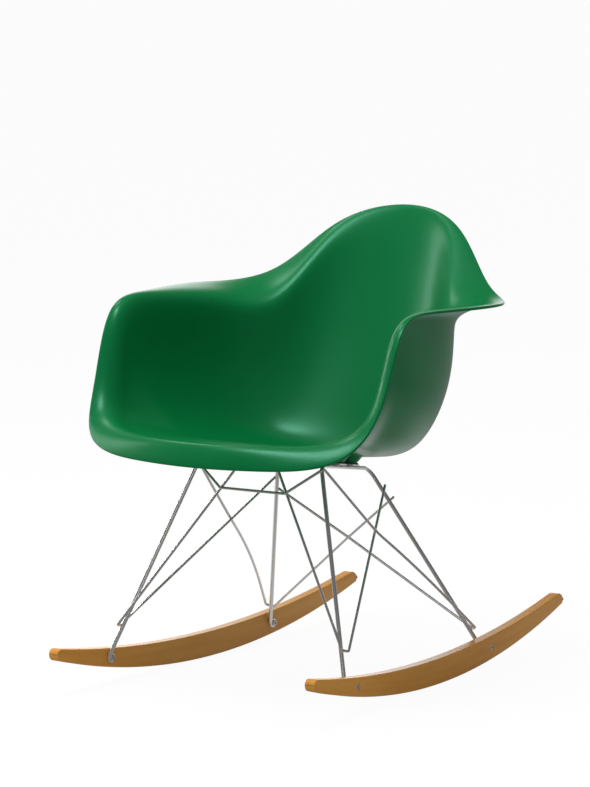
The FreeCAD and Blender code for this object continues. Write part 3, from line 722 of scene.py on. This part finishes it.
def rear_brace_path():
    corners = []
    radii = []
    for side in (1, -1):
        inner, outer = vee(side, "rear")
        tip = brace_tip(-side, REAR_TIP_HEIGHT, False)
        shift = Vector((0, side, 1)).normalized() * (BRACE_WIRE + WIRE_GAP) / 2
        leg_cross = inner.lerp(tip, inner.x / (inner.x - tip.x)) + shift
        point, outward, away = leg_frame(side, "front", rail_end(side, "front").z - WRAP_DROP)
        wrap_side = point + outward * WRAP_REACH
        touch = touch_corner(side, outer, wrap_side)
        bow = touch.lerp(outer, BOW_SHARE) + Vector((-side * BOW_IN, BOW_BACK, 0))
        run = [overrun(leg_cross, tip), leg_cross, inner, outer, bow,
               touch_corner(side, bow, wrap_side), wrap_side, wrap_side + away * WRAP_REACH,
               crossbar_point(side)]
        bends = [CROSSING_RADIUS, VEE_RADIUS, VEE_RADIUS, BOW_RADIUS, TOUCH_RADIUS, WRAP_RADIUS,
                 WRAP_TIGHT_RADIUS, CROSSBAR_RADIUS]
        corners += run if side > 0 else run[::-1]
        radii += bends if side > 0 else bends[::-1]
    return bend_path(corners, radii, BEND_STEPS)


for name, path in (("front_brace", front_brace_path()), ("rear_brace", rear_brace_path())):
    new_piece(name, ring_mesh(name, tube_rows(path, BRACE_WIRE / 2), path[0], path[-1]), chrome,
              name + "_wire")

wires = bpy.data.collections.new("wires")
for name in ("left_frame_wire", "right_frame_wire", "front_brace", "rear_brace"):
    wires.objects.link(bpy.data.objects[name])
wire_lamp = soft_lamp("wire_lamp", CAMERA_TARGET + WIRE_LAMP_WAY * WIRE_LAMP_DISTANCE,
                      CAMERA_TARGET, WIRE_LAMP_WIDTH, WIRE_LAMP_LENGTH, WIRE_LAMP_WATTS, True)
wire_lamp.light_linking.receiver_collection = wires


# Bolts, nuts and screws: button heads on the wire eyes, barrel nuts sunk in the rockers' outer
# faces and screws up through the seat mounts, turned from bright steel with a hex socket.
LATHE_MARKS = 500
LATHE_DEPTH = 0.02 * MM
LATHE_ROUGHNESS = 0.12
STEEL_ROUGHNESS = 0.25
STEEL_DULL = (0.5, 0.5, 0.48, 1)
STEEL_PALE = (0.66, 0.66, 0.63, 1)

steel, fine = new_material("bright_steel")
lathe = fine.speckle(LATHE_MARKS)
fine.finish(Base_Color=fine.mix(lathe, STEEL_DULL, STEEL_PALE),
            Roughness=lathe * LATHE_ROUGHNESS + STEEL_ROUGHNESS, Metallic=0.6,
            Normal=fine.bump(lathe, LATHE_DEPTH))
for name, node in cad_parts.items():
    if name.endswith(("_rocker_bolt", "_barrel_nut", "_seat_screw")):
        dress(node, steel)


# Seat mounts: chromed plates welded on the rails, dark moulded rubber pads between them and
# the shell's bosses, and turned brass inserts moulded into the bosses for the screws.
RUBBER_SKIN = 900
RUBBER_DEPTH = 0.05 * MM
RUBBER_ROUGHNESS = 0.5
RUBBER_SKIN_ROUGHNESS = 0.2
RUBBER_BLACK = (0.012, 0.012, 0.012, 1)
RUBBER_GREY = (0.03, 0.03, 0.03, 1)
BRASS_SWIRL = 600
BRASS_ROUGHNESS = 0.3
BRASS_SWIRL_ROUGHNESS = 0.15
BRASS_DARK = (0.45, 0.32, 0.12, 1)
BRASS_PALE = (0.58, 0.42, 0.18, 1)

rubber, dull = new_material("dark_rubber")
skin_grain = dull.speckle(RUBBER_SKIN)
dull.finish(Base_Color=dull.mix(skin_grain, RUBBER_BLACK, RUBBER_GREY),
            Roughness=skin_grain * RUBBER_SKIN_ROUGHNESS + RUBBER_ROUGHNESS,
            Normal=dull.bump(skin_grain, RUBBER_DEPTH))
brass, turned = new_material("insert_brass")
swirl = turned.speckle(BRASS_SWIRL)
turned.finish(Base_Color=turned.mix(swirl, BRASS_DARK, BRASS_PALE),
              Roughness=swirl * BRASS_SWIRL_ROUGHNESS + BRASS_ROUGHNESS, Metallic=1.0)
for name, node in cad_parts.items():
    if name.endswith("_mount_plate"):
        dress(node, chrome)
    elif name.endswith("_mount_pad"):
        dress(node, rubber)
    elif name.endswith("_insert"):
        dress(node, brass)


# Seat shell: one moulding of through-coloured plastic with a fine satin grain, five
# millimetres thick, its lip rolled out and down round the front and the arms. It stands on
# four bosses of its own.
SEAT_HALF_WIDTH = 215.5 * MM
SEAT_FRONT_REACH = 286 * MM
SEAT_REAR_REACH = 117.5 * MM
SEAT_SQUARENESS = 2.39
SEAT_DISC_RADIUS = 40 * MM
SEAT_FLAT_RADIUS = 75 * MM
SEAT_SOFT_SHARE = 0.27
SEAT_DISH = 10 * MM
SEAT_SOFT_LIFT = 0.3
# a wall shorter than this bulges less
WALL_BULGE_LENGTH = 250 * MM
LIP_BEND = 34.8 * MM
LIP_BEND_SHARE = 0.45
# half the rim, front middle to crown, in mm: place, lip width, lip angle and wall's bulge
RIM = (((0, -353.5, 393.7), 42.3, -72, 14.7), ((103, -349.8, 395.8), 42.3, -69.7, 14.7),
       ((267, -302.3, 399), 49.7, -50, 14.7), ((292.6, -221.2, 491.6), 22.2, -13.4, 26),
       ((295.7, -181.2, 636.4), 22.2, -6.2, 26), ((287, -79.4, 629.8), 22.2, -17, 26),
       ((339.5, 109.8, 621.8), 93.4, 1.2, 26), ((214.5, 196, 616.6), 93.4, 17.7, 19),
       ((135.5, 256.3, 729.6), 9, 30.5, 19), ((0, 305.4, 758), 9, 40.5, 19))
# steps to a span of the skin, round it and across it, and over the rim's nose; then the
# plastic's grain and drift of tone, lumps to a metre
AROUND_STEPS = 16
ACROSS_STEPS = 12
RIM_STEPS = 8
DISC_RINGS = 5
MOULD_GRAIN = 1400
MOULD_GRAIN_DEPTH = 0.02 * MM
MOULD_GRAIN_ROUGHNESS = 0.08
DRIFT = 7
DRIFT_ROUGHNESS = 0.06
SATIN_ROUGHNESS = 0.25
DEEP_GREEN = from_screen(0, 107, 53)
FRESH_GREEN = from_screen(0, 114, 58)
GREEN_SHEEN = (0.35, 1, 0.75, 1)


def control_rings():
    """Rings of control points from the flat middle of the seat out to the rim."""
    stations = list(RIM) + list(RIM)[-2:0:-1]
    edges = [Vector(place) * MM for place, lip, angle, bulge in stations]
    for i in range(len(RIM), len(edges)):
        edges[i].x *= -1
    rings = [[] for _ in range(8)]
    for i, (place, lip, angle, bulge) in enumerate(stations):
        edge = edges[i]
        chord = edges[(i + 1) % len(edges)] - edges[i - 1]
        out = Vector((chord.y, -chord.x, 0)).normalized()
        angle = math.radians(angle)
        lip_way = out * math.cos(angle) + Vector((0, 0, math.sin(angle)))
        crest = edge - lip_way * lip * MM
        bearing = math.atan2(crest.x, SEAT_CENTRE.y - crest.y)
        sin_b, cos_b = math.sin(bearing), math.cos(bearing)
        reach = SEAT_FRONT_REACH if cos_b > 0 else SEAT_REAR_REACH
        radius = (abs(sin_b / SEAT_HALF_WIDTH) ** SEAT_SQUARENESS
                  + abs(cos_b / reach) ** SEAT_SQUARENESS) ** (-1 / SEAT_SQUARENESS)
        foot = seat_point(radius * sin_b, -radius * cos_b, 0)
        wall = crest - foot
        belly = out * bulge * MM * min(1, wall.length / WALL_BULGE_LENGTH)
        bend = min(LIP_BEND, wall.length * LIP_BEND_SHARE)
        soft = SEAT_FLAT_RADIUS + (radius - SEAT_FLAT_RADIUS) * SEAT_SOFT_SHARE
        floor_rings = ((SEAT_DISC_RADIUS, 0), (SEAT_FLAT_RADIUS, 0),
                       (soft, SEAT_DISH * SEAT_SOFT_LIFT), (radius, SEAT_DISH))
        for ring, (reach, raised) in zip(rings, floor_rings):
            ring.append(seat_point(reach * sin_b, -reach * cos_b, raised))
        rings[4].append((foot + crest) / 2 + belly)
        rings[5].append(crest - wall.normalized() * bend)
        rings[6].append(crest)
        rings[7].append(edge - lip_way * SHELL_THICKNESS / 2)
    return rings


def around(ring, turn):
    """The point at turn, counted in control points, on a ring's closed cubic spline."""
    first = math.floor(turn)
    t = turn - first
    weights = ((1 - t) ** 3, 3 * t ** 3 - 6 * t ** 2 + 4, 3 * (t + t ** 2 - t ** 3) + 1, t ** 3)
    count = len(ring)
    return sum((ring[(first + k) % count] * w for k, w in enumerate(weights)), Vector()) / 6


def outward(column, reach):
    """The point at reach, in spans, on a cubic spline clamped to a column's two ends."""
    spans = len(column) - 3
    knots = [0] * 3 + list(range(spans + 1)) + [spans] * 3
    span = min(int(reach), spans - 1) + 3
    weights = [1.0]
    for degree in (1, 2, 3):
        grown = [0.0] * (degree + 1)
        for j, weight in enumerate(weights):
            low = knots[span - degree + 1 + j]
            share = (reach - low) / (knots[span + 1 + j] - low)
            grown[j] += weight * (1 - share)
            grown[j + 1] += weight * share
        weights = grown
    return sum((column[span - 3 + k] * w for k, w in enumerate(weights)), Vector())


def underside(rings):
    """The control rings one wall thickness away, below the seat and outside the walls."""
    count = len(rings[0])
    spans = len(rings) - 3
    knots = [0] * 3 + list(range(spans + 1)) + [spans] * 3
    nudge = 0.001
    under = []
    for k, ring in enumerate(rings):
        reach = sum(knots[k + 1:k + 4]) / 3
        near, far = max(reach - nudge, 0), min(reach + nudge, spans)
        row = []
        for i, point in enumerate(ring):
            turn = i - 1
            ahead = outward([around(r, turn + nudge) for r in rings], reach)
            behind = outward([around(r, turn - nudge) for r in rings], reach)
            column = [around(r, turn) for r in rings]
            slope = outward(column, far) - outward(column, near)
            row.append(point + (ahead - behind).cross(slope).normalized() * SHELL_THICKNESS)
        under.append(row)
    return under


def skin_rows(rings, steps):
    """Dense rings of points on the spline skin, steps to a span each way."""
    turns = [i / AROUND_STEPS for i in range(len(rings[0]) * AROUND_STEPS)]
    columns = [[around(ring, turn) for ring in rings] for turn in turns]
    spans = len(rings) - 3
    return [[outward(column, j / steps) for column in columns] for j in range(spans * steps + 1)]


def rounded_rim(inner, outer):
    """Control rings of the rim's nose, very nearly a half circle from edge to edge."""
    noses = [[p + (p - q).normalized() * SHELL_THICKNESS * 2 / 3 for p, q in zip(ring, before)]
             for ring, before in ((inner[-1], inner[-2]), (outer[-1], outer[-2]))]
    return [inner[-1], noses[0], noses[1], outer[-1]]


def disc_rows(row):
    """Rings that fill the flat disc inside a row, and their centre."""
    centre = sum(row, Vector()) / len(row)
    return centre, [[centre.lerp(p, j / DISC_RINGS) for p in row] for j in range(1, DISC_RINGS)]


inner_rings = control_rings()
outer_rings = underside(inner_rings)
top_rows = skin_rows(inner_rings, ACROSS_STEPS)
low_rows = skin_rows(outer_rings, ACROSS_STEPS)
nose_rows = skin_rows(rounded_rim(inner_rings, outer_rings), RIM_STEPS)[1:-1]
top_centre, top_disc = disc_rows(top_rows[0])
low_centre, low_disc = disc_rows(low_rows[0])
shell_rows = top_disc + top_rows + nose_rows + low_rows[::-1] + low_disc[::-1]

plastic, tint = new_material("green_plastic")
mould_grain = tint.speckle(MOULD_GRAIN)
drift = tint.speckle(DRIFT)
satin = mould_grain * MOULD_GRAIN_ROUGHNESS + drift * DRIFT_ROUGHNESS + SATIN_ROUGHNESS
tint.finish(Base_Color=tint.mix(drift, DEEP_GREEN, FRESH_GREEN), Roughness=satin,
            Specular_Tint=GREEN_SHEEN, Normal=tint.bump(mould_grain, MOULD_GRAIN_DEPTH))
shell = new_piece("moulded_shell", ring_mesh("moulded_shell", shell_rows, top_centre, low_centre),
                  plastic, "seat_shell")


# Bosses: four round stubs moulded with the shell under the seat, each widening in a soft
# curve into the underside and bored for its insert, which takes the screw from below.
BOSS_FOOT_RADIUS = 15 * MM
BOSS_ROOT_RADIUS = 22 * MM
BOSS_FLARE = 5 * MM
BOSS_EDGE = 0.8 * MM
# the flare's start: its share of the widening and of the way down, and how far it is sunk
FLARE_WIDTH_SHARE = 0.6
FLARE_HEIGHT_SHARE = 0.8
FLARE_SINK = 0.3 * MM
INSERT_RADIUS = 4.5 * MM
INSERT_LENGTH = 9 * MM
BOSS_SIDES = 64
CURVE_STEPS = 6

seat_normal = seat_point(0, 0, 1) - seat_point(0, 0, 0)
cross_way = Vector((1, 0, 0))
rear_way = seat_normal.cross(cross_way)
skin = BVHTree.FromObject(shell, bpy.context.evaluated_depsgraph_get())


def skin_above(point):
    """How far above a point, along the seat's normal, the shell's underside lies."""
    return skin.ray_cast(point, seat_normal)[3]


def boss_rows(foot):
    """Rows of one boss: bore, foot face, cone and the flare that meets the shell."""
    height = skin_above(foot + cross_way * BOSS_FOOT_RADIUS)
    profile = [(INSERT_RADIUS, INSERT_LENGTH), (INSERT_RADIUS, 0),
               (BOSS_FOOT_RADIUS - BOSS_EDGE, 0)]
    for step in range(1, CURVE_STEPS + 1):
        turn = math.pi / 2 * step / CURVE_STEPS
        profile.append((BOSS_FOOT_RADIUS - BOSS_EDGE * (1 - math.sin(turn)),
                        BOSS_EDGE * (1 - math.cos(turn))))
    rows = []
    spokes = []
    for i in range(BOSS_SIDES):
        turn = 2 * math.pi * i / BOSS_SIDES
        spokes.append(cross_way * math.cos(turn) + rear_way * math.sin(turn))
    for radius, raised in profile:
        rows.append([foot + spoke * radius + seat_normal * raised for spoke in spokes])
    drop = (height - BOSS_EDGE) * FLARE_HEIGHT_SHARE
    taper = (BOSS_ROOT_RADIUS - BOSS_FOOT_RADIUS) * FLARE_WIDTH_SHARE
    for step in range(1, CURVE_STEPS + 1):
        turn = math.pi / 2 * step / CURVE_STEPS
        low_share = 1 - math.sin(turn)
        radius = BOSS_ROOT_RADIUS + BOSS_FLARE * (1 - math.cos(turn)) - taper * low_share
        row = []
        for spoke in spokes:
            reach = foot + spoke * radius
            raised = skin_above(reach) - drop * low_share + FLARE_SINK * math.sin(turn)
            row.append(reach + seat_normal * raised)
        rows.append(row)
    return rows


for end in ("front", "rear"):
    for hand in ("left", "right"):
        low, high = (Vector(corner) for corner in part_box(f"{end}_{hand}_insert"))
        foot = (low + high) / 2 - seat_normal * INSERT_LENGTH / 2
        name = f"{end}_{hand}_boss"
        new_piece(name, ring_mesh(name, boss_rows(foot)), plastic)
